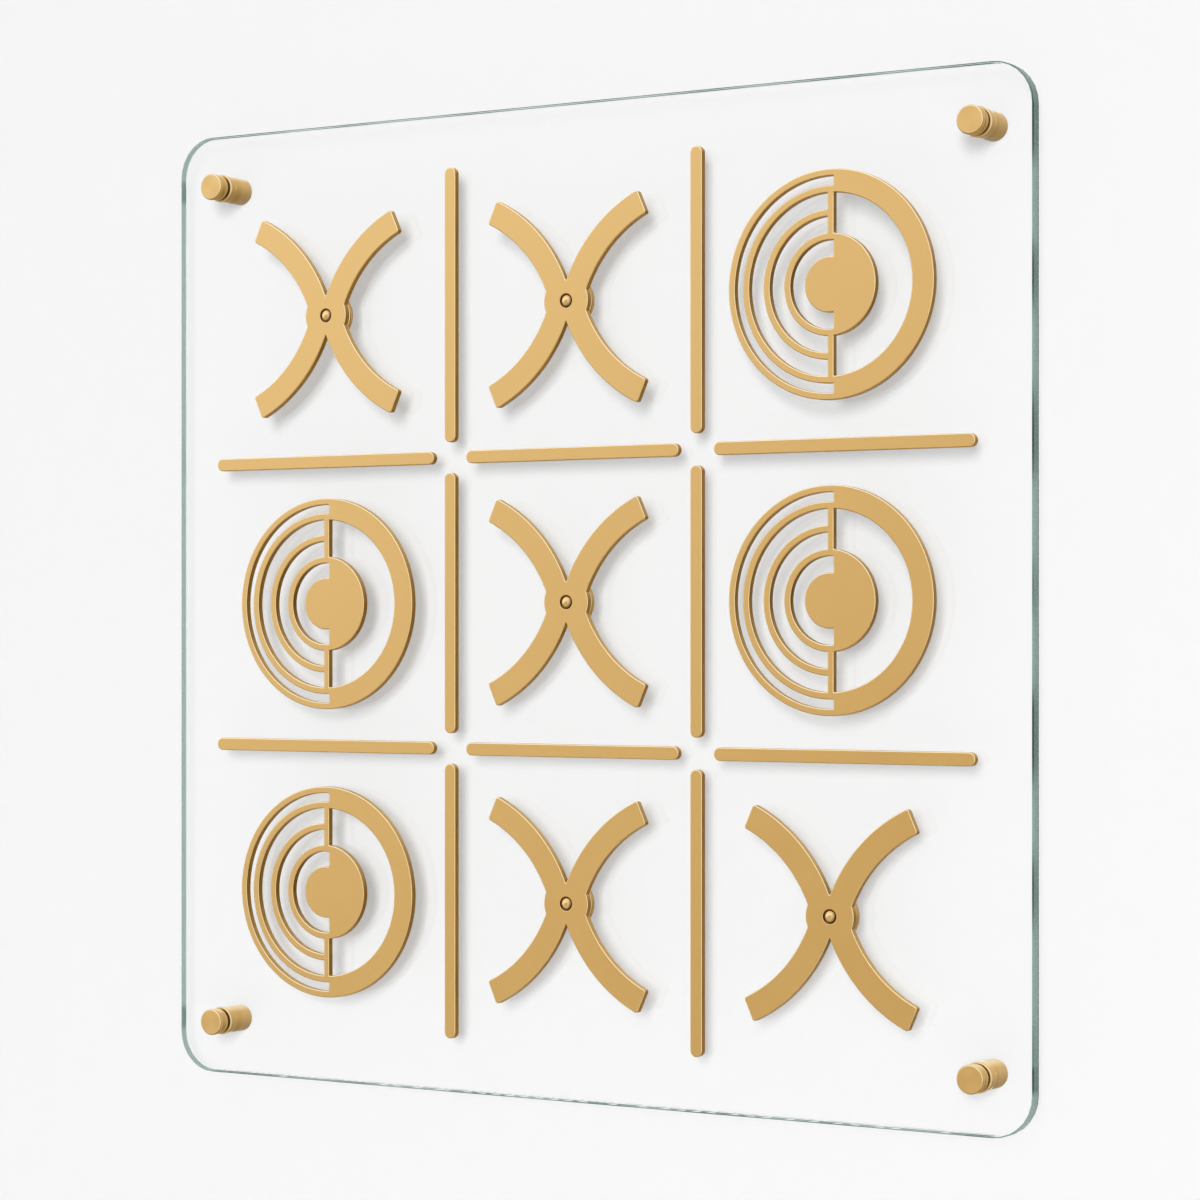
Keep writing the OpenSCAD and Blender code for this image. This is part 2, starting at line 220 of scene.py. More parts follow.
def trimmed(edge, first, last):
    """An edge with its first and last millimetres taken off, measured along it."""
    along = np.concatenate([[0], np.cumsum(np.linalg.norm(np.diff(edge, axis=0), axis=1))])
    low, high = first, along[-1] - last
    at = np.concatenate([[low], along[(along > low + 0.01) & (along < high - 0.01)], [high]])
    return np.stack([np.interp(at, along, edge[:, 0]), np.interp(at, along, edge[:, 1])], 1)


def outline(edges, radii):
    """One closed line from edges that follow each other, with the corner after edge i rounded by radius i.

    A rounding is a conic between the two edges whose middle weight is the cosine of half the
    turn, which is an arc of a circle of that radius. Edges that meet within SMOOTH_TURN aren't rounded.
    """
    bends, cuts = [], []
    for edge, after, radius in zip(edges, edges[1:] + edges[:1], radii):
        into, out = edge[-1] - edge[-2], after[1] - after[0]
        bend = np.arctan2(into[0] * out[1] - into[1] * out[0], into @ out)
        bends.append(bend)
        cuts.append(radius * np.tan(abs(bend) / 2) if abs(bend) > SMOOTH_TURN else 0.0)
    kept = [trimmed(edge, cuts[i - 1], cuts[i]) for i, edge in enumerate(edges)]
    runs = []
    for i, edge in enumerate(kept):
        runs.append(edge if cuts[i] else edge[:-1])
        if cuts[i]:
            a, p, b = edge[-1], edges[i][-1], kept[(i + 1) % len(kept)][0]
            t = np.linspace(0, 1, 8)[1:-1, None]
            w = 2 * t * (1 - t) * np.cos(bends[i] / 2)
            runs.append(((1 - t) ** 2 * a + w * p + t**2 * b) / ((1 - t) ** 2 + w + t**2))
    return np.vstack(runs)


def inset(loop, by):
    """A closed line moved by millimetres to its left, with mitred corners."""
    step = np.roll(loop, -1, 0) - loop
    left = np.stack([-step[:, 1], step[:, 0]], 1) / np.linalg.norm(step, axis=1)[:, None]
    back = np.roll(left, 1, 0)
    return loop + by * (left + back) / (1 + np.sum(left * back, 1))[:, None]


def clockwise(loop):
    """A closed line turned round, if needed, so that what it encloses is on its right."""
    ahead = np.roll(loop, -1, 0)
    area = np.sum(loop[:, 0] * ahead[:, 1] - loop[:, 1] * ahead[:, 0])
    return loop[::-1] if area > 0 else loop


def rounded_edge(thick, front, rear):
    """(inset, height) of a plate's edge from back to front, and how much of each row is side wall.

    Both edges are quarter rounds of the given radii, and a narrow row beside each keeps the faces flat.
    The front round gets painted light, which the wall mask gives as values below 0: a painted highlight where
    it faces up or right and painted shade where it faces down or left, and past -1 a painted highlight all
    round.
    """
    t = np.linspace(0, np.pi / 2, 5)
    behind = np.stack([rear * (1 - np.sin(t)), rear * (1 - np.cos(t))], 1)
    before = np.stack([front * (1 - np.cos(t)), thick - front + front * np.sin(t)], 1)
    rows = np.vstack([[rear + FLAT_STEP, 0], behind, before, [front + FLAT_STEP, thick]])
    # Side wall rows take the darker wall tone, a painted shade; the front rows below 0 take painted
    # highlights.
    wall = np.concatenate([[0.0], np.linspace(0.3, 1, 5), [1.0, 0.7, -0.7, -1.0, -1.2, 0.0]])
    return rows, wall


def plate(base, loops):
    """A flat plate of closed lines, each with the plate on its left.

    Each line is carried through its own edge rows of (inset, height), from back to front, and both
    faces are filled between the lines with triangles.
    """
    points, quads, wall, starts = [], [], [], []
    count = 0
    for loop, (rows, side) in loops:
        points += [np.column_stack([inset(loop, by), np.full(len(loop), base + up)]) for by, up in rows]
        quads.append(grid_faces(len(rows), len(loop))[0] + count)
        wall.append(np.repeat(side, len(loop)))
        starts.append((count, count + (len(rows) - 1) * len(loop), len(loop)))
        count += len(rows) * len(loop)
    points = np.vstack(points)
    caps = []
    for end, sign in ((0, -1), (1, 1)):
        index = np.concatenate([np.arange(s[end], s[end] + s[2]) for s in starts])
        flat = points[index, :2]
        rims = np.split(flat, np.cumsum([s[2] for s in starts])[:-1])
        tri = np.array(tessellate_polygon([[(x, y, 0.0) for x, y in rim] for rim in rims]))
        a, b, c = flat[tri[:, 0]], flat[tri[:, 1]], flat[tri[:, 2]]
        size = (b[:, 0] - a[:, 0]) * (c[:, 1] - a[:, 1]) - (b[:, 1] - a[:, 1]) * (c[:, 0] - a[:, 0])
        tri[size * sign < 0] = tri[size * sign < 0][:, ::-1]
        caps.append(index[tri])
    return surface(points, [tuple(f) for part in (*quads, *caps) for f in part], np.concatenate(wall))


# Shapes of the playing pieces

PLATE_T, EDGE_ROUND, BACK_ROUND = 3.2, 0.4, 0.25
SINK_R, SINK_DEEP, SINK_BEVEL, SINK_ROUND = 3.2, 1.2, 0.35, 0.05
ARM_W, ARM_R, ARM_C, ARM_END, HUB_R = 11.6, 67.5, np.array([67.7, -19.0]), 114.1, 11.8
FOOT_ROUND, TIP_ROUND, VALLEY_ROUND, GAP_ROUND = 0.8, 1.3, 0.3, 0.35
RIM_R, RIM_IN, SECOND_R, THIRD_R, DISC_R, SMALL_R = 50.2, 39.9, 43.0, 32.7, 22.4, 12.2
FINE_W, SPLIT, RIB_W = 3.1, 2.0, 2.9
SHANK_R, BORE_R, TAIL_R, TAIL_T, PIN_HEAD_R, DOME_H = 2.0, 2.05, 3.0, 0.5, 2.7, 1.7
FLANGE_R, FLANGE_T, NECK_R, MAGNET_ROOM_R, MAGNET_ROOM_H = 11.0, 1.6, 6.0, 7.55, 1.05
TAIL_ROOM_R, TAIL_FROM = 3.3, 1.1


def angle(p):
    """Angle of a point round the origin, in degrees."""
    return np.degrees(np.arctan2(p[1], p[0]))


def circles_meet(radius_a, centre, radius_b):
    """The upper point where a circle round the origin meets a circle round centre."""
    far = np.linalg.norm(centre)
    along = (radius_a**2 - radius_b**2 + far**2) / (2 * far)
    way = centre / far
    aside = np.sqrt(radius_a**2 - along**2)
    return along * way + aside * np.array([-way[1], way[0]])


def cross_outline():
    """Outline of the cross: four curved arms, each a band along a circle, that run into a round hub.

    The outer edges of two arms meet in a sharp valley above and below the hub. One quarter runs from
    the hub's right side along an arm and back to the valley, and the other three are its mirror
    images and half turns.
    """
    low, high = ARM_R - ARM_W / 2, ARM_R + ARM_W / 2
    right = circles_meet(HUB_R, ARM_C, low)
    valley = np.array([0, ARM_C[1] + np.sqrt(high**2 - ARM_C[0] ** 2)])
    inner = arc(ARM_C, low, angle(right - ARM_C), ARM_END)
    outer = arc(ARM_C, high, ARM_END, angle(valley - ARM_C))
    quarter = [arc((0, 0), HUB_R, 0, angle(right)), inner, straight(inner[-1], outer[0]), outer]
    radii = [FOOT_ROUND, TIP_ROUND, TIP_ROUND, VALLEY_ROUND]
    half = quarter + [(e * [-1, 1])[::-1] for e in quarter[::-1]]
    return outline(half + [-e for e in half], (radii + radii[-2::-1] + [0]) * 2)


def ring_gap(outer, inner, edge):
    """Outline of the gap between two circles on the left of an upright line at edge."""
    a, b = np.degrees(np.arccos(edge / outer)), np.degrees(np.arccos(edge / inner))
    far, near = arc((0, 0), outer, a, 360 - a), arc((0, 0), inner, 360 - b, b)
    return outline([far, straight(far[-1], near[0]), near, straight(near[-1], far[0])], [GAP_ROUND] * 4)


def cross_plate(base):
    """The cross with its sunk pin hole: a bore, a flat floor and a wider mouth with a small bevel."""
    sole, step = PLATE_T - SINK_DEEP, SINK_ROUND
    bore = BORE_R - SINK_R
    rows = [(bore, 0), (bore, sole - step), (bore + step, sole), (-step, sole), (0, sole + step),
            (0, PLATE_T - SINK_BEVEL - 2 * step), (2 * step, PLATE_T - 2 * step), (SINK_BEVEL, PLATE_T),
            (SINK_BEVEL + FLAT_STEP, PLATE_T)]
    # The pin hole's walls and floor take the darker wall tone, a painted shade in the recess.
    side = np.array([1, 1, 1, 1, 1, 0.6, 0, 0, 0.0])
    hole = clockwise(arc((0, 0), SINK_R, 0, 360)[:-1])
    edge = rounded_edge(PLATE_T, EDGE_ROUND, BACK_ROUND)
    return plate(base, [(cross_outline(), edge), (hole, (np.array(rows), side))])


def ring_plate(base):
    """The ring: a broad rim and half disc on the right, four fine half rings on the left, a rib between."""
    edge = rounded_edge(PLATE_T, EDGE_ROUND, BACK_ROUND)
    gaps = [
        ring_gap(RIM_R - FINE_W, SECOND_R, SPLIT),
        ring_gap(SECOND_R - FINE_W, THIRD_R, SPLIT - RIB_W),
        ring_gap(THIRD_R - FINE_W, DISC_R, SPLIT - RIB_W),
        ring_gap(DISC_R - FINE_W, SMALL_R, SPLIT),
        ring_gap(RIM_IN, DISC_R, -SPLIT) * [-1, 1],
    ]
    return plate(base, [(arc((0, 0), RIM_R, 0, 360)[:-1], edge)] + [(clockwise(g), edge) for g in gaps])


def pin_tail(low, high):
    """Upset tail and shank of a pin, as (radius, height)."""
    return [(0, low), (TAIL_R, low), (TAIL_R, low + TAIL_T), (SHANK_R, low + TAIL_T), (SHANK_R, high)]


# Finishes


class Tree:
    """A shader tree with short calls.

    node() adds a node with its settings and sockets. A socket is given by its name, or by its number
    as in i0, and its value is a number, a colour or the output that feeds it.
    """

    def __init__(self, tree):
        self.tree = tree

    def node(self, kind, settings=None, **sockets):
        made = self.tree.nodes.new(kind)
        for key, value in (settings or {}).items():
            setattr(made, key, value)
        for key, value in sockets.items():
            numbered = key[0] == "i" and key[1:].isdigit()
            socket = made.inputs[int(key[1:]) if numbered else key.replace("_", " ")]
            if isinstance(value, bpy.types.NodeSocket):
                self.tree.links.new(value, socket)
            else:
                socket.default_value = value
        return made

    def math(self, way, a, b=0.0, c=0.0):
        return self.node("ShaderNodeMath", {"operation": way}, i0=a, i1=b, i2=c).outputs[0]

    def fade(self, value, low, high, to_low=0.0, to_high=1.0):
        """Smooth step of a value from low to high."""
        made = self.node("ShaderNodeMapRange", {"interpolation_type": "SMOOTHSTEP"}, Value=value,
                         From_Min=low, From_Max=high, To_Min=to_low, To_Max=to_high)
        return made.outputs[0]

    def noise(self, where, scale, detail=2.0, rough=0.5):
        made = self.node("ShaderNodeTexNoise", {"noise_dimensions": "3D"}, Vector=where, Scale=scale,
                         Detail=detail, Roughness=rough)
        return made.outputs["Fac"]

    def mix(self, fac, a, b, way="MIX"):
        made = self.node("ShaderNodeMix", {"data_type": "RGBA", "blend_type": way}, i0=fac, i6=a, i7=b)
        return made.outputs[2]

    def grey(self, value):
        """A grey whose three channels are the value."""
        return self.node("ShaderNodeCombineColor", Red=value, Green=value, Blue=value).outputs[0]


def group(name, inputs, outputs):
    """An empty node group with named sockets, its tree, and its input and output nodes."""
    made = bpy.data.node_groups.new(name, "ShaderNodeTree")
    for label, kind, value in inputs:
        socket = made.interface.new_socket(name=label, in_out="INPUT", socket_type=kind)
        socket.default_value = value
    for label, kind in outputs:
        made.interface.new_socket(name=label, in_out="OUTPUT", socket_type=kind)
    tree = Tree(made)
    return made, tree, tree.node("NodeGroupInput").outputs, tree.node("NodeGroupOutput")


def satin_metal(name, on_lathe):
    """Effect of a satin finish: slow drift of tone, fine lines and small specks.

    The lines are brushed at a slant, or run round where the part was turned on a lathe. Shade is a
    factor near 1, Rough is added to a roughness, and Height is for a bump.
    """
    made, tree, given, out = group(
        name,
        [("Slant", "NodeSocketFloat", 0.7), ("Drift", "NodeSocketFloat", 0.05),
         ("Lines", "NodeSocketFloat", 0.03)],
        [("Shade", "NodeSocketFloat"), ("Rough", "NodeSocketFloat"), ("Height", "NodeSocketFloat")],
    )
    where = tree.node("ShaderNodeTexCoord").outputs["Object"]
    turn = tree.node("ShaderNodeCombineXYZ", Y=given["Slant"]).outputs[0]
    slanted = tree.node("ShaderNodeMapping", {"vector_type": "POINT"}, Vector=where, Rotation=turn).outputs[0]
    stretched = tree.node("ShaderNodeMapping", Vector=slanted, Scale=(60.0, 300.0, 2400.0)).outputs[0]
    if on_lathe:
        along = tree.node("ShaderNodeUVMap", {"uv_map": "turned"}).outputs[0]
        stretched = tree.node("ShaderNodeMapping", Vector=along, Scale=(0.0, 300.0, 0.0)).outputs[0]
    drift = tree.math("SUBTRACT", tree.noise(where, 34.0, 3.0), 0.5)
    lines = tree.math("SUBTRACT", tree.noise(stretched, 1.0, 2.0, 0.6), 0.5)
    specks = tree.math("SUBTRACT", tree.noise(where, 2600.0, 1.0), 0.5)
    marks = tree.math("MULTIPLY", lines, given["Lines"])
    shade = tree.math("ADD", tree.math("MULTIPLY", drift, given["Drift"]), marks)
    shade = tree.math("ADD", shade, tree.math("MULTIPLY", specks, tree.math("MULTIPLY", given["Lines"], 0.6)))
    rough = tree.math("ADD", tree.math("MULTIPLY", drift, 0.08), tree.math("MULTIPLY", lines, 0.03))
    link = tree.tree.links.new
    link(tree.math("ADD", shade, 1.0), out.inputs["Shade"])
    link(rough, out.inputs["Rough"])
    link(tree.math("ADD", lines, tree.math("MULTIPLY", specks, 0.5)), out.inputs["Height"])
    return made


# Colour of the painted highlight on the topmost strip of turned walls
TOP_HIGHLIGHT_COLOUR = (1.0, 0.79, 0.44, 1)
BOUNCE_GREY, BOUNCE_SHARE = (0.30, 0.30, 0.30, 1), 0.85
BUMP_DEPTH = 0.0001  # metres


def finish(name):
    """A new material, its tree, its shader and its output."""
    made = bpy.data.materials.new(name)
    made.use_nodes = True
    made.node_tree.nodes.clear()
    tree = Tree(made.node_tree)
    shader = tree.node("ShaderNodeBsdfPrincipled")
    out = tree.node("ShaderNodeOutputMaterial", Surface=shader.outputs[0])
    return made, tree, shader, out


def metal(name, effect, face, side, rough, slant=0.7, drift=0.05, lines=0.03, bump=0.02, around=0.0,
          shade=(-0.1, 0.9, 0.25), highlight_tone=(0.95, 0.78, 0.50), top_highlight=0.0):
    """Satin metal with a darker tone on side walls, a painted shade, and a paler one on edges, a painted
    highlight, from the wall attribute.

    Walls that face up are painted lighter and walls that face down darker, as painted shade: shade gives two
    values of the surface's upward direction and the share of the wall's tone that is left beyond the second.
    Edges that face down and left are painted darker, also painted shade.
    The last argument is how much of a wall's topmost strip gets a painted highlight, and around is the
    stretch of the gloss round the turning. Light that bounces off the metal is kept nearly grey, so the wall
    behind stays neutral.
    """
    made, tree, shader, _ = finish(name)
    satin = tree.node("ShaderNodeGroup", {"node_tree": effect}, Slant=slant, Drift=drift, Lines=lines).outputs
    wall = tree.node("ShaderNodeAttribute", {"attribute_name": "wall"}).outputs["Fac"]
    normal = tree.node("ShaderNodeNewGeometry").outputs["Normal"]
    facing = tree.node("ShaderNodeSeparateXYZ", Vector=normal).outputs
    lean = tree.math("MULTIPLY_ADD", facing["X"], 0.6, tree.math("MULTIPLY", facing["Z"], 0.8))
    # Painted shade: side walls take the darker tone, less where they face up and more where they face down.
    painted_wall_shade = tree.math("MULTIPLY", wall, tree.fade(facing["Z"], shade[0], shade[1], 1.0, shade[2]))
    edge = tree.math("MULTIPLY", wall, -1.0)
    # Painted shade on edges that face down and left.
    low = tree.math("MULTIPLY_ADD", facing["X"], 0.35, tree.math("MULTIPLY", facing["Z"], 0.9))
    painted_edge_shade = tree.math("MULTIPLY", edge, tree.fade(low, -0.55, 0.0, 0.95, 0.0))
    tone = tree.mix(tree.math("MAXIMUM", painted_wall_shade, painted_edge_shade), (*face, 1), (*side, 1))
    # Painted highlight on edges that face up or right, and all round where the mask is below -1.
    bright = tree.math("MULTIPLY", edge, tree.fade(lean, -0.15, 0.35))
    tone = tree.mix(tree.math("MAXIMUM", bright, tree.math("SUBTRACT", edge, 1.0)), tone, (*highlight_tone, 1))
    # Painted highlight on the topmost strip of walls that face up.
    if top_highlight:
        top = tree.math("MULTIPLY", wall, tree.fade(facing["Z"], 0.6, 0.97, 0.0, top_highlight))
        tone = tree.mix(top, tone, TOP_HIGHLIGHT_COLOUR)
    tone = tree.mix(1.0, tone, tree.grey(satin["Shade"]), "MULTIPLY")
    bounce = tree.math("MULTIPLY", tree.node("ShaderNodeLightPath").outputs["Is Diffuse Ray"], BOUNCE_SHARE)
    link = tree.tree.links.new
    link(tree.mix(bounce, tone, BOUNCE_GREY), shader.inputs["Base Color"])
    rough_now = tree.math("ADD", tree.math("ADD", satin["Rough"], rough), tree.math("MULTIPLY", wall, 0.08))
    link(rough_now, shader.inputs["Roughness"])
    shader.inputs["Metallic"].default_value = 1.0
    raised = tree.node("ShaderNodeBump", Strength=bump, Distance=BUMP_DEPTH, Height=satin["Height"])
    link(raised.outputs[0], shader.inputs["Normal"])
    if around:
        shader.inputs["Anisotropic"].default_value = around
        shader.inputs["Anisotropic Rotation"].default_value = 0.25
        way = tree.node("ShaderNodeTangent", {"direction_type": "UV_MAP", "uv_map": "turned"})
        link(way.outputs[0], shader.inputs["Tangent"])
    return made


def clear_glass(name):
    """Clear float glass. Rays that only carry light, or that come off satin metal, pass straight through."""
    made, tree, shader, out = finish(name)
    where = tree.node("ShaderNodeTexCoord").outputs["Object"]
    tint = tree.mix(tree.noise(where, 5.0), (0.992, 0.998, 0.995, 1), (0.995, 1.0, 0.998, 1))
    tree.tree.links.new(tint, shader.inputs["Base Color"])
    shader.inputs["Roughness"].default_value = 0.0
    shader.inputs["IOR"].default_value = 1.5
    shader.inputs["Transmission Weight"].default_value = 1.0
    shader.inputs["Specular IOR Level"].default_value = 0.3
    passing(tree, shader, out, (0.996, 0.999, 0.998, 1), 1.0)
    return made


def passing(tree, shader, out, tint, share):
    """Lets a share of shadow rays, diffuse rays and rays off satin metal pass a material straight."""
    path = tree.node("ShaderNodeLightPath").outputs
    satin = tree.math("SUBTRACT", path["Is Glossy Ray"], path["Is Singular Ray"])
    soft = tree.math("MAXIMUM", tree.math("MAXIMUM", path["Is Shadow Ray"], path["Is Diffuse Ray"]), satin)
    share = tree.math("MULTIPLY", soft, share)
    straight_on = tree.node("ShaderNodeBsdfTransparent", Color=tint).outputs[0]
    both = tree.node("ShaderNodeMixShader", i0=share, i1=shader.outputs[0], i2=straight_on)
    tree.tree.links.new(both.outputs[0], out.inputs["Surface"])


def ground_edge(name):
    """Ground edge of the glass: sea green in darker and paler stretches, with painted shade in dark lines
    along both bevels.

    The wall attribute runs from 0 at the back bevel over 0.5 on the flat edge to 1 at the front bevel.
    Darker spots are painted as shade on the stretches of edge next to the standoffs. The left edge is
    paler, the lower one darker as painted shade, and the bevels of both level edges are greener. Seen from
    inside the glass, the edge is a brighter green, a painted light.
    """
    made, tree, shader, out = finish(name)
    where = tree.node("ShaderNodeTexCoord").outputs["Object"]
    row = tree.node("ShaderNodeAttribute", {"attribute_name": "wall"}).outputs["Fac"]
    place = tree.node("ShaderNodeSeparateXYZ", Vector=where).outputs
    sides = [tree.math("SUBTRACT", tree.math("ABSOLUTE", place[way]), POST_AT) for way in "XZ"]
    aside = tree.math("MINIMUM", *[tree.math("ABSOLUTE", side) for side in sides])
    # Painted shade: dark spots on the edge beside each standoff.
    near = tree.fade(aside, *POST_SHADE, 1.0, 0.0)
    around = tree.math("MULTIPLY_ADD", tree.math("ADD", place["X"], place["Z"]), WAVE_RATE, WAVE_START)
    waves = tree.math("MULTIPLY_ADD", tree.math("SINE", around), 0.12, 0.2)
    slow = tree.math("MULTIPLY_ADD", tree.noise(where, 15.0, 1.0), 0.6, waves)
    slow = tree.math("ADD", slow, tree.fade(place["X"], -EDGE_AT, -EDGE_FROM, 0.26, 0.0))
    slow = tree.math("SUBTRACT", tree.fade(slow, 0.36, 0.64), tree.math("MULTIPLY", near, 0.9))
    flat = tree.mix(slow, (0.08, 0.165, 0.13, 1), (0.228, 0.334, 0.291, 1))
    level = tree.fade(tree.math("ABSOLUTE", place["Z"]), EDGE_FROM, EDGE_AT)
    along = tree.node("ShaderNodeMapping", Vector=where, Scale=(10.0, 900.0, 10.0)).outputs[0]
    grain = tree.fade(tree.noise(along, 1.0, 3.0, 0.55), 0.3, 0.7, 0.86, 1.12)
    # Painted shade: the lower edge is darker.
    grain = tree.math("MULTIPLY", grain, tree.fade(place["Z"], -EDGE_AT, -EDGE_FROM, 0.75, 1.0))
    flat = tree.mix(1.0, flat, tree.grey(grain), "MULTIPLY")
    # Painted shade: dark lines along both bevels.
    bevel = tree.mix(slow, (0.02, 0.045, 0.035, 1), (0.25, 0.36, 0.315, 1))
    bevel = tree.mix(level, bevel, tree.mix(slow, (0.055, 0.16, 0.12, 1), (0.20, 0.33, 0.28, 1)))
    front = tree.mix(tree.fade(row, 0.55, 0.9), flat, bevel)
    back = tree.mix(0.85, flat, (0.03, 0.075, 0.058, 1))
    outside = tree.mix(tree.fade(row, 0.1, 0.45), back, front)
    # Painted light: the edge seen from inside the glass is a brighter green.
    inside = tree.mix(slow, (0.085, 0.215, 0.17, 1), (0.32, 0.445, 0.405, 1))
    within = tree.node("ShaderNodeNewGeometry").outputs["Backfacing"]
    tree.tree.links.new(tree.mix(within, outside, inside), shader.inputs["Base Color"])
    frost = tree.noise(where, 1800.0, 2.0)
    tree.tree.links.new(tree.math("MULTIPLY_ADD", frost, 0.25, 0.15), shader.inputs["Roughness"])
    shader.inputs["IOR"].default_value = 1.5
    shader.inputs["Specular IOR Level"].default_value = 0.3
    passing(tree, shader, out, (0.96, 0.98, 0.97, 1), 0.8)
    return made


def rubber(name):
    """Dark brown rubber with a fine grain."""
    made, tree, shader, _ = finish(name)
    where = tree.node("ShaderNodeTexCoord").outputs["Object"]
    grain = tree.noise(where, 3000.0, 2.0)
    tone = tree.mix(grain, (0.030, 0.014, 0.003, 1), (0.060, 0.031, 0.009, 1))
    tree.tree.links.new(tone, shader.inputs["Base Color"])
    shader.inputs["Roughness"].default_value = 0.7
    shader.inputs["Specular IOR Level"].default_value = 0.2
    raised = tree.node("ShaderNodeBump", Strength=0.2, Distance=BUMP_DEPTH, Height=grain)
    tree.tree.links.new(raised.outputs[0], shader.inputs["Normal"])
    return made


POST_AT = middle("cap_tr")[0] / 1000
EDGE_FROM, EDGE_AT = 0.222, 0.228  # metres from the centre between which an edge's own tone sets in
POST_SHADE = (0.003, 0.0075)  # metres beside a standoff's axis over which its painted dark spot fades
WAVE_RATE, WAVE_START = 96.66, 0.98  # radians a metre, and radians, of the tone along the glass edge
SATIN, LATHE = satin_metal("satin_metal", False), satin_metal("turned_metal", True)
BRASS = (0.824, 0.527, 0.190)
# The second colour of each metal is the darker tone its side walls take, a painted shade.
brass = metal("brass_brushed", SATIN, BRASS, (0.27, 0.128, 0.010), 0.31, drift=0.04, lines=0.006,
              bump=0.004, highlight_tone=(1.0, 0.81, 0.47))
brass_turned = metal("brass_turned", LATHE, BRASS, (0.35, 0.20, 0.038), 0.38, drift=0.04, around=0.55,
                     shade=(-0.9, 0.9, 0.1), highlight_tone=(0.95, 0.76, 0.46), top_highlight=0.9)
brass_polished = metal("brass_polished", LATHE, (0.86, 0.57, 0.23), (0.12, 0.06, 0.015), 0.22,
                       drift=0.03, lines=0.0, bump=0.0)
plated = metal("seat_plating", SATIN, (0.74, 0.47, 0.18), (0.42, 0.25, 0.08), 0.38)
zinc = metal("screw_zinc", SATIN, (0.55, 0.55, 0.53), (0.42, 0.42, 0.40), 0.34, lines=0.06)
nickel = metal("magnet_nickel", SATIN, (0.62, 0.61, 0.58), (0.45, 0.44, 0.42), 0.25, lines=0.05)
glass = clear_glass("clear_glass")
glass_edge = ground_edge("glass_edge")
black_rubber = rubber("black_rubber")


# The board

PANEL_CORNER, ARRIS, ARRIS_STEP, HOLE_R = 19.0, 0.55, 0.08, 6.33
SEAT_R, POST_R, POST_BORE, POST_FLOOR = 11.2, 6.35, 4.0, 4.0
FERRULE_R, FERRULE_BORE, GASKET_R, COLLAR_R, CAP_T, CAP_BEVEL = 6.7, 4.2, 5.8, 6.1, 2.0, 0.5
STUD_R, STUD_PITCH, STUD_DEPTH = 3.95, 1.25, 0.6
SCREW_R, SCREW_PITCH, SCREW_DEPTH, SCREW_LONG, SCREW_POINT = 2.1, 1.8, 0.5, 28, 6
SCREW_HEAD_R, SLOT_HALF_W, SLOT_HALF_L, SLOT_DEEP = 3.7, 0.55, 2.2, 1.2

seat_back, seat_front = heights("seat_discs")
plate_back = heights("cross_plate_mm")[0]
glass_back, glass_front = heights("glass_panel")

low, high = span("glass_panel")
half_x, half_z = (high[0] - low[0]) / 2, (high[2] - low[2]) / 2
sides = [(half_x, -half_z), (half_x, half_z), (-half_x, half_z), (-half_x, -half_z)]
panel = outline([straight(a, b) for a, b in zip(sides, sides[1:] + sides[:1])], [PANEL_CORNER] * 4)
thick, step = glass_front - glass_back, ARRIS_STEP
rows = np.array([(ARRIS + 0.4, 0), (ARRIS, 0), (ARRIS - step, step), (step, ARRIS - step), (0, ARRIS),
                 (0, 1.3), (0, 1.7), (0, thick - 1.0), (0, thick - ARRIS), (step, thick - ARRIS + step),
                 (ARRIS - step, thick - step), (ARRIS, thick), (ARRIS + 0.4, thick)])
side = np.array([0, 0, 0, 0, 0.1, 0.1, 0.5, 0.5, 0.8, 1, 1, 1, 1])
posts = [middle(f"cap_{c}") for c in CORNERS]
holes = [clockwise(arc(at, HOLE_R, 0, 360)[:-1]) for at in posts]
hole_rows = np.array([(0.4, 0), (0.05, 0), (0, 0.05), (0, thick - 0.05), (0.05, thick), (0.4, thick)])
pane = plate(glass_back, [(panel, (rows, side))] + [(hole, (hole_rows, np.zeros(6))) for hole in holes])
pane["finish"][len(panel) : (len(rows) - 2) * len(panel)] = 1
piece("glass_pane", pane, [glass, glass_edge], "board", ["glass_panel"])

for bar in BARS:
    low, high = span(bar)
    (x, z), (wide, tall) = middle(bar), (high - low)[[0, 2]]
    r = min(wide, tall) / 2
    reach = max(wide, tall) / 2 - r
    ends = [arc((reach, 0), r, -90, 90), arc((-reach, 0), r, 90, 270)]
    there, back = straight(ends[0][-1], ends[1][0]), straight(ends[1][-1], ends[0][0])
    loop = outline([ends[0], there, ends[1], back], [0] * 4)
    if tall > wide:
        loop = np.stack([-loop[:, 1], loop[:, 0]], 1)
    part = plate(glass_front, [(loop, rounded_edge(high[1] - low[1], EDGE_ROUND, BACK_ROUND))])
    piece("brass_" + bar, moved(part, x, z), [brass], "board", [bar])


def copies(part, places):
    """The same surface at several places over the board, as one."""
    return joined(*[moved(part, *at) for at in places])


crosses = {c: middle(f"cross_base_{c}") for c in CROSS_CELLS}
rings = {c: middle(f"ring_base_{c}") for c in RING_CELLS}
seat = turned(crisp([(0, seat_back), (SEAT_R, seat_back), (SEAT_R, seat_front - 0.2),
                     (SEAT_R - 0.2, seat_front), (0, seat_front)]))
# The seat's side wall takes the darker wall tone, a painted shade.
seat = walled(seat, lambda radius, height: (radius > SEAT_R - 0.1) * (height > seat_back + 0.01) * 1.0)
seats = copies(seat, [*crosses.values(), *rings.values()])
piece("plated_seats", seats, [plated], "board", ["seat_discs"])

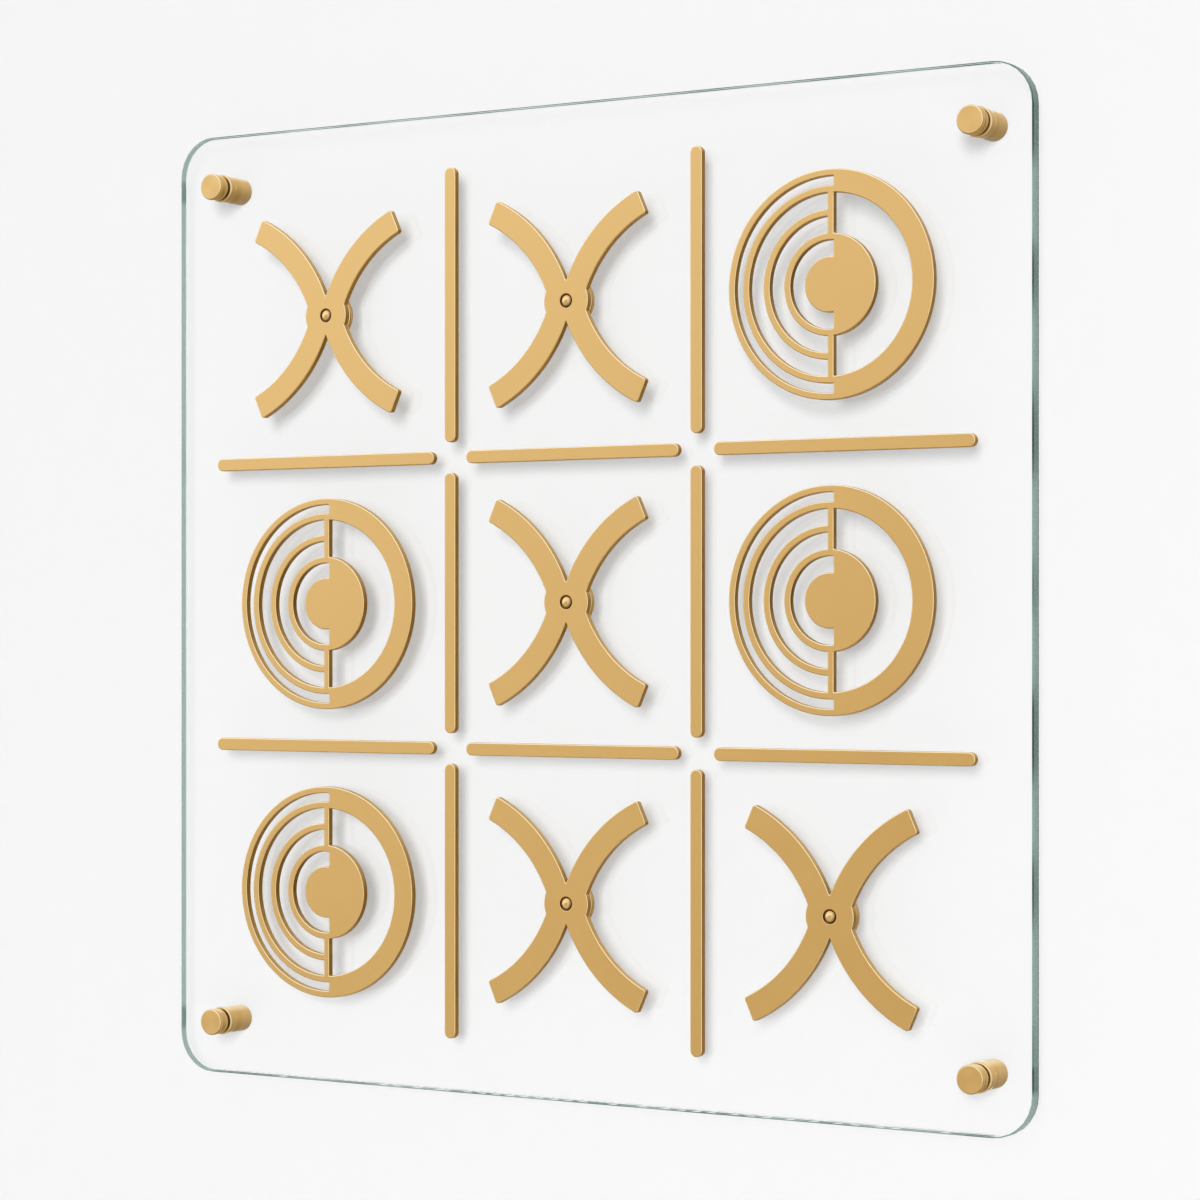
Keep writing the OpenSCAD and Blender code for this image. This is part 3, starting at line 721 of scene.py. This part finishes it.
barrel_front = heights("standoff_barrels")[1]
flange_front = heights("glass_ferrules")[1]
stud_back, cap_front = heights("cap_tl")
collar_back = heights("gasket_tl")[1]
barrel_rows = [(2.25, 0), (5.65, 0), (6.1, 0.18), (POST_R, 0.7), (POST_R, barrel_front - 0.15),
               (POST_R - 0.15, barrel_front), (POST_BORE, barrel_front), (POST_BORE, POST_FLOOR),
               (POST_BORE - 0.15, POST_FLOOR), (2.25, 1.8)]
barrel = turned(crisp(barrel_rows, 0.04, closed=True))
# Barrel sides take the darker wall tone, a painted shade that is darker on the underside and lighter on top.
barrel = walled(barrel, lambda radius, height: (radius > 5.6) * 1.0)
ferrule_rows = [(FERRULE_BORE, glass_back), (POST_R, glass_back), (POST_R, glass_front),
                (FERRULE_R, glass_front), (FERRULE_R, flange_front - 0.5), (FERRULE_R - 0.5, flange_front),
                (FERRULE_BORE, flange_front)]
ferrule = turned(crisp(ferrule_rows, 0.08, closed=True))
# Painted highlight on the flange's front bevel where it faces up or right; the rest takes the darker wall
# tone, a painted shade.
ferrule = walled(ferrule, lambda radius, height: np.where(
    (radius > FERRULE_R - 0.5) & (height > flange_front - 0.6), -0.4, 1.0))
piece("turned_barrels", copies(barrel, posts), [brass_turned], "board", ["standoff_barrels"])
piece("turned_ferrules", copies(ferrule, posts), [brass_turned], "board", ["glass_ferrules"])


def thread(pitch, depth, low, high):
    """Ripple of a right-hand thread between two heights.

    The radius dips by a raised cosine once a pitch, and the dip climbs with the turn. Over the first
    and last pitch the dip grows from nothing.
    """

    def ripple(turn, radius, height):
        there = np.clip((height - low) / pitch, 0, 1) * np.clip((high - height) / pitch, 0, 1)
        dip = 0.5 - 0.5 * np.cos(2 * np.pi * (height / pitch - turn))
        return -depth * dip * there, np.zeros(height.shape)

    return ripple


def climb(radius, low, high, pitch):
    """Points up a straight side, eight to a pitch of its thread."""
    h = np.linspace(low, high, int((high - low) / pitch * 8))
    return np.stack([np.full(len(h), radius), h], 1)


thread_from, thread_to = stud_back + 0.7, collar_back - 0.4
stud = np.vstack([[(0, stud_back), (3.2, stud_back)], climb(STUD_R, thread_from, thread_to, STUD_PITCH),
                  [(STUD_R, collar_back)]])
disc_back = cap_front - CAP_T
face = [(5.7, collar_back), (COLLAR_R, collar_back + 0.35), (COLLAR_R, disc_back), (POST_R, disc_back),
        (POST_R, cap_front - CAP_BEVEL), (POST_R - CAP_BEVEL, cap_front)]
face += [(radius, cap_front) for radius in (5.6, 4.4, 3.0, 1.6, 0.5, 0)]
stud_thread = thread(STUD_PITCH, STUD_DEPTH, thread_from, thread_to)
cap = turned(np.vstack([stud, crisp(face, 0.1)]), ripple=stud_thread)


def cap_shade_and_highlight(radius, height):
    """Wall mask of a cap: a painted highlight on the front rim, painted shade on the bevel and a painted
    shadow line behind the disc.
    """
    below = cap_front - height
    hidden, painted_groove_shadow = (radius < 5.6) | (height < collar_back + 0.1), abs(height - disc_back + 0.1) < 0.3
    places = [hidden, below < 0.05, below < 0.2, below < 0.55, painted_groove_shadow]
    return np.select(places, [0.0, -1.15, -1.0, 1.5, 1.3], 0.7)


cap = walled(cap, cap_shade_and_highlight)
gasket_rows = [(POST_BORE, flange_front), (GASKET_R, flange_front), (GASKET_R, collar_back),
               (POST_BORE, collar_back)]
gasket = turned(crisp(gasket_rows, 0.15, closed=True), 64)
for c, at in zip(CORNERS, posts):
    node, seal = f"cap_{c}", f"gasket_{c}"
    piece(f"turned_{node}", moved(cap, *at), [brass_turned], node, [node])
    piece(f"rubber_{seal}", moved(gasket, *at), [black_rubber], seal, [seal])


def screw_shape(turn, radius, height):
    """The screw's thread, and a cross slot sunk in the flat of its head."""
    wider, _ = thread(SCREW_PITCH, SCREW_DEPTH, 1 - SCREW_LONG, 0.0)(turn, radius, height)
    a, b = np.abs(radius * np.cos(2 * np.pi * turn)), np.abs(radius * np.sin(2 * np.pi * turn))
    in_slot = (np.minimum(a, b) < SLOT_HALF_W) & (np.maximum(a, b) < SLOT_HALF_L)
    return np.where(height < 0, wider, 0.0), -SLOT_DEEP * (in_slot & (height > POST_FLOOR - 0.1))


straight_from = SCREW_POINT - SCREW_LONG
point = climb(1.0, -SCREW_LONG, straight_from, SCREW_PITCH)[1:-1]
point[:, 0] = SCREW_R * (point[:, 1] + SCREW_LONG) / SCREW_POINT
head_rows = [(radius, POST_FLOOR) for radius in (*np.linspace(SCREW_HEAD_R, 0.15, 24), 0)]
screw_rows = np.vstack([[(0, -SCREW_LONG)], point, climb(SCREW_R, straight_from, 0, SCREW_PITCH),
                        [(1.8, 0), (1.8, 1.8)], head_rows])
screws = copies(turned(screw_rows, 48, ripple=screw_shape), posts)
piece("threaded_screws", screws, [zinc], "board", ["wall_screws"])

flange_top, tail_back = seat_front + FLANGE_T, seat_front + TAIL_FROM
magnet_top, tail_room_top = seat_front + MAGNET_ROOM_H, flange_top + 0.05
base_rows = [(MAGNET_ROOM_R, seat_front), (FLANGE_R, seat_front), (FLANGE_R, flange_top - 0.3),
             (FLANGE_R - 0.3, flange_top), (NECK_R, flange_top), (NECK_R, plate_back), (BORE_R, plate_back),
             (BORE_R, tail_room_top), (TAIL_ROOM_R, tail_room_top), (TAIL_ROOM_R, magnet_top),
             (MAGNET_ROOM_R, magnet_top)]
base = turned(crisp(base_rows, closed=True))
# Painted shade on the base's face under the plate and on its side, and a painted highlight on its rim.
base = walled(base, lambda radius, height: np.select(
    [radius < 5, radius < FLANGE_R - 0.25, height > seat_front + 1.2], [0.0, 1.7, -0.9], 1.5))
dome_from, rise = plate_back + PLATE_T - SINK_DEEP + 0.05, DOME_H * 2 / 3
dome_r = (PIN_HEAD_R**2 + rise**2) / (2 * rise)
t = np.linspace(np.arcsin(PIN_HEAD_R / dome_r), 0, 10)
dome = np.stack([dome_r * np.sin(t), dome_from + DOME_H - dome_r + dome_r * np.cos(t)], 1)
dome[-1, 0] = 0
pin_rows = pin_tail(tail_back, dome_from) + [(PIN_HEAD_R, dome_from), (PIN_HEAD_R, dome_from + 0.5)]
pin = turned(np.vstack([crisp(pin_rows), dome]), 64)
# Painted shade on the dome's outer part, darkest where it faces down.
pin = walled(pin, lambda radius, height: np.clip((radius - 1.5) / 1.1, 0, 1))
ring_stud = turned(crisp(pin_tail(tail_back, plate_back + 1) + [(0, plate_back + 1)]), 64)

cross, ring = cross_plate(plate_back), joined(ring_plate(plate_back), ring_stud)
for kind, made, cells in (("cross", cross, crosses), ("ring", ring, rings)):
    for c, at in cells.items():
        top, foot = f"{kind}_plate_{c}", f"{kind}_base_{c}"
        piece(f"satin_{kind}_{c}", moved(made, *at), [brass], top, [top])
        if kind == "cross":
            head = f"cross_pin_{c}"
            piece(f"domed_pin_{c}", moved(pin, *at), [brass_polished], foot, [head])
        piece(f"turned_base_{c}", moved(base, *at), [brass_turned], foot, [foot])
for name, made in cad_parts.items():
    if "_magnet_" in name:
        made.data.materials.clear()
        made.data.materials.append(nickel)


# Wall, lamps and camera


def plaster():
    """Pale matt plaster, which is clear when seen from behind.

    A share GLOW of what is seen of it is an even pale glow.
    """
    made, tree, shader, out = finish("plaster")
    where = tree.node("ShaderNodeTexCoord").outputs["Object"]
    grain = tree.noise(where, 900.0, 3.0)
    tone = tree.mix(grain, (0.915, 0.912, 0.912, 1), (0.945, 0.941, 0.942, 1))
    tree.tree.links.new(tone, shader.inputs["Base Color"])
    shader.inputs["Roughness"].default_value = 1.0
    shader.inputs["Specular IOR Level"].default_value = 0.0
    path = tree.node("ShaderNodeLightPath").outputs
    seen = tree.math("MAXIMUM", path["Is Camera Ray"], path["Is Glossy Ray"])
    seen = tree.math("MAXIMUM", seen, path["Is Transmission Ray"])
    share = tree.math("MULTIPLY", seen, GLOW)
    pale = tree.mix(grain, (0.945, 0.940, 0.941, 1), (0.965, 0.961, 0.963, 1))
    glow = tree.node("ShaderNodeEmission", Color=pale, Strength=1.0).outputs[0]
    front = tree.node("ShaderNodeMixShader", i0=share, i1=shader.outputs[0], i2=glow).outputs[0]
    behind = tree.node("ShaderNodeNewGeometry").outputs["Backfacing"]
    clear = tree.node("ShaderNodeBsdfTransparent").outputs[0]
    both = tree.node("ShaderNodeMixShader", i0=behind, i1=front, i2=clear).outputs[0]
    tree.tree.links.new(both, out.inputs["Surface"])
    return made


def stage_plane(name, corners):
    """A pale plane of the stage: the wall that the barrels stand on, or the floor below it."""
    mesh = bpy.data.meshes.new(name)
    mesh.from_pydata(corners, [], [(0, 1, 2, 3)])
    mesh.materials.append(PLASTER)
    made = bpy.data.objects.new(name, mesh)
    bpy.context.scene.collection.objects.link(made)


def studio_world(lit):
    """Soft even light at strength lit.

    Satin metal sees a brighter, whiter room above than below, and clear glass sees a pale one.
    """
    world = bpy.data.worlds.new("studio")
    world.use_nodes = True
    world.node_tree.nodes.clear()
    tree = Tree(world.node_tree)
    where = tree.node("ShaderNodeTexCoord").outputs["Generated"]
    way = tree.node("ShaderNodeSeparateXYZ", Vector=where).outputs
    path = tree.node("ShaderNodeLightPath").outputs
    slant = tree.math("MULTIPLY_ADD", way["X"], ROOM_LEAN, tree.math("SUBTRACT", way["Z"], ROOM_MIDDLE))
    bright = tree.math("ADD", tree.fade(slant, -0.36, 0.36), tree.fade(way["X"], -0.3, 0.25, 0.0, 0.7))
    room = tree.mix(bright, (0.50, 0.38, 0.09, 1), (1.20, 1.30, 1.60, 1))
    sharp = tree.math("MAXIMUM", path["Is Singular Ray"], path["Is Transmission Ray"])
    shown = tree.mix(sharp, room, PALE)
    plain = tree.mix(path["Is Camera Ray"], (lit, lit, lit, 1), PALE)
    plain = tree.mix(tree.math("MAXIMUM", path["Is Glossy Ray"], path["Is Transmission Ray"]), plain, shown)
    light = tree.node("ShaderNodeBackground", Color=plain, Strength=1.0).outputs[0]
    tree.node("ShaderNodeOutputWorld", Surface=light)
    bpy.context.scene.world = world


def lamp(name, way, far, wide, tall, power):
    """An oval lamp in direction way from the board, facing it.

    It doesn't show in metal or glass, which see the room instead.
    """
    data = bpy.data.lights.new(name, "AREA")
    data.shape, data.size, data.size_y, data.energy = "ELLIPSE", wide, tall, power
    made = bpy.data.objects.new(name, data)
    made.visible_glossy = False
    bpy.context.scene.collection.objects.link(made)
    way = np.array(way, float) / np.linalg.norm(way)
    made.location = way * far
    made.rotation_euler = Vector(way).to_track_quat("Z", "Y").to_euler()


GLOW, PALE = 0.35, (0.955, 0.95, 0.952, 1)
ROOM_LEAN, ROOM_MIDDLE = -0.735, 0.398  # lean to the left and height of the line where the room turns bright
PLASTER = plaster()
WIDE, DOWN, UP, OUT = 3, -0.9, 2, -3.5  # metres from the board's centre
stage_plane("wall", [(-WIDE, 0, DOWN), (WIDE, 0, DOWN), (WIDE, 0, UP), (-WIDE, 0, UP)])
stage_plane("floor", [(-WIDE, OUT, DOWN), (WIDE, OUT, DOWN), (WIDE, 0, DOWN), (-WIDE, 0, DOWN)])
studio_world(lit=0.30)
lamp("key", (0.36, -1.0, 0.15), 12.0, 2.8, 4.0, 940)

camera = bpy.data.objects.new("camera", bpy.data.cameras.new("camera"))
bpy.context.scene.collection.objects.link(camera)
bpy.context.scene.camera = camera
camera.location = (0.8193, -1.3229, -0.0159)
camera.rotation_euler = (np.pi / 2, 0, 0.552946)
camera.data.lens = 101.1
camera.data.shift_x = -0.0008
camera.data.shift_y = 0.0309
bpy.context.scene.view_settings.view_transform = "Standard"
